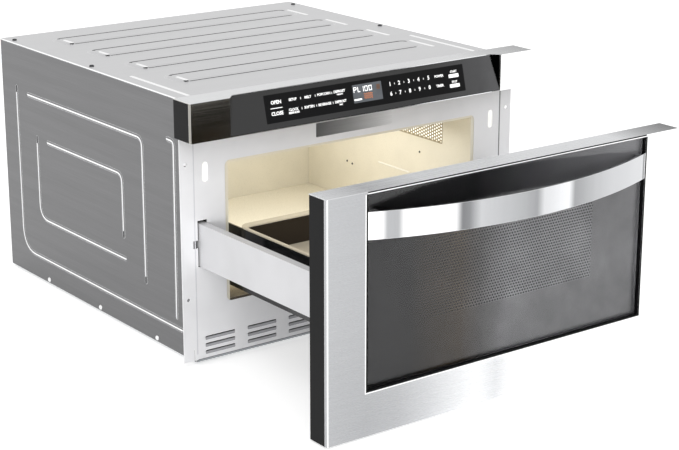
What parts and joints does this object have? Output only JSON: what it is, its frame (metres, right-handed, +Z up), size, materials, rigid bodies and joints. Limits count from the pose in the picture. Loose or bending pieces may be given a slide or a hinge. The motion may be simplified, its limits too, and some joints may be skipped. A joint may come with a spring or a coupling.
{
  "type": "microwave drawer",
  "caption": "Built-in microwave drawer standing open: drawer front with bowed handle on sliding arms, tub, control panel and a steel cabinet with its works.",
  "frame": {"origin": "under the middle of the open appliance, on the surface its pressed runners stand on", "axes": "+Z up, +Y back into the cabinet it is built into, +X to the right of someone facing the front"},
  "size_m": [0.606, 0.956, 0.386],
  "materials": {
    "cabinet_steel": "dark satin sheet steel, finely brushed along the depth",
    "cover_steel": "bright satin sheet steel with pressed beads",
    "white_enamel": "light grey-white stove enamel",
    "cavity_enamel": "cream gloss oven enamel",
    "black_enamel": "black satin stove enamel",
    "stainless": "satin stainless steel",
    "black_plastic": "black moulded plastic, semi-matte",
    "gloss_black": "gloss black",
    "tinted_glass": "dark tinted toughened glass",
    "galvanised": "galvanised sheet steel",
    "cream_rim": "cream, smooth and glossy",
    "copper_winding": "lacquered copper winding",
    "circuit_board": "green solder resist",
    "white_plastic": "white moulded plastic",
    "nylon": "natural nylon"
  },
  "bodies": {
    "cabinet": {"side_panel_right": "cabinet_steel", "side_panel_left": "cabinet_steel", "transformer_core": "cabinet_steel", "top_cover": "cover_steel", "base_pan": "galvanised", "rear_panel": "galvanised", "slide_bracket_right": "galvanised", "slide_bracket_left": "galvanised", "fixed_rail_right": "galvanised", "fixed_rail_left": "galvanised", "waveguide": "galvanised", "magnetron": "galvanised", "hv_capacitor": "galvanised", "fan_motor": "galvanised", "drive_motor": "galvanised", "front_frame": "white_enamel", "cavity_wall_right": "cavity_enamel", "cavity_wall_left": "cavity_enamel", "cavity_floor": "cavity_enamel", "cavity_ceiling": "cavity_enamel", "cavity_rear_wall": "cavity_enamel", "control_housing": "black_plastic", "fan_shroud": "black_plastic", "cord_gland": "black_plastic", "control_fascia": "stainless", "control_glass": "tinted_glass", "display_module": "gloss_black", "control_board": "circuit_board", "power_board": "circuit_board", "stirrer_motor": "white_plastic", "stirrer_cover": "white_plastic", "interlock_switch_right": "white_plastic", "interlock_switch_left": "white_plastic", "oven_lamp": "white_plastic", "transformer_coils": "copper_winding"},
    "middle_rails": {"middle_rail_right": "galvanised", "middle_rail_left": "galvanised"},
    "drawer": {"door_skin": "stainless", "door_frame": "black_plastic", "door_glass": "tinted_glass", "door_screen": "gloss_black", "door_inner_panel": "black_enamel", "choke_cover": "black_plastic", "handle": "stainless", "latch_hook_right": "white_plastic", "latch_hook_left": "white_plastic", "drawer_arm_right": "white_enamel", "drawer_arm_left": "white_enamel", "inner_rail_right": "galvanised", "inner_rail_left": "galvanised", "drive_rack": "nylon", "tub_wall": "gloss_black", "tub_rim": "cream_rim", "tub_tray": "cream_rim", "tub_floor": "gloss_black"},
    "drive_pinion": {"drive_pinion": "nylon"},
    "fan_rotor": {"fan_rotor": "black_plastic"},
    "stirrer": {"stirrer": "galvanised"}
  },
  "joints": [
    {"name": "drawer_slide", "type": "slide", "parent": "cabinet", "child": "drawer", "axis": [0, 1, 0], "range_m": [0, 0.3035]},
    {"name": "middle_slide", "type": "slide", "parent": "cabinet", "child": "middle_rails", "axis": [0, 1, 0], "range_m": [0, 0.15175]},
    {"name": "pinion_spin", "type": "hinge", "parent": "cabinet", "child": "drive_pinion", "pos_m": [0.2425, -0.028, 0.1526], "axis": [0, 0, 1], "range_deg": [0, 1023]},
    {"name": "fan_spin", "type": "hinge", "parent": "cabinet", "child": "fan_rotor", "pos_m": [-0.15, 0.455, 0.114], "axis": [0, 1, 0], "continuous": true},
    {"name": "stirrer_spin", "type": "hinge", "parent": "cabinet", "child": "stirrer", "pos_m": [0, 0.162, 0.2735], "axis": [0, 0, 1], "continuous": true}
  ],
  "couplings": [
    {"joint": "middle_slide", "follows": "drawer_slide", "ratio": 0.5},
    {"joint": "pinion_spin", "follows": "drawer_slide", "rad_per_m": 58.824}
  ]
}
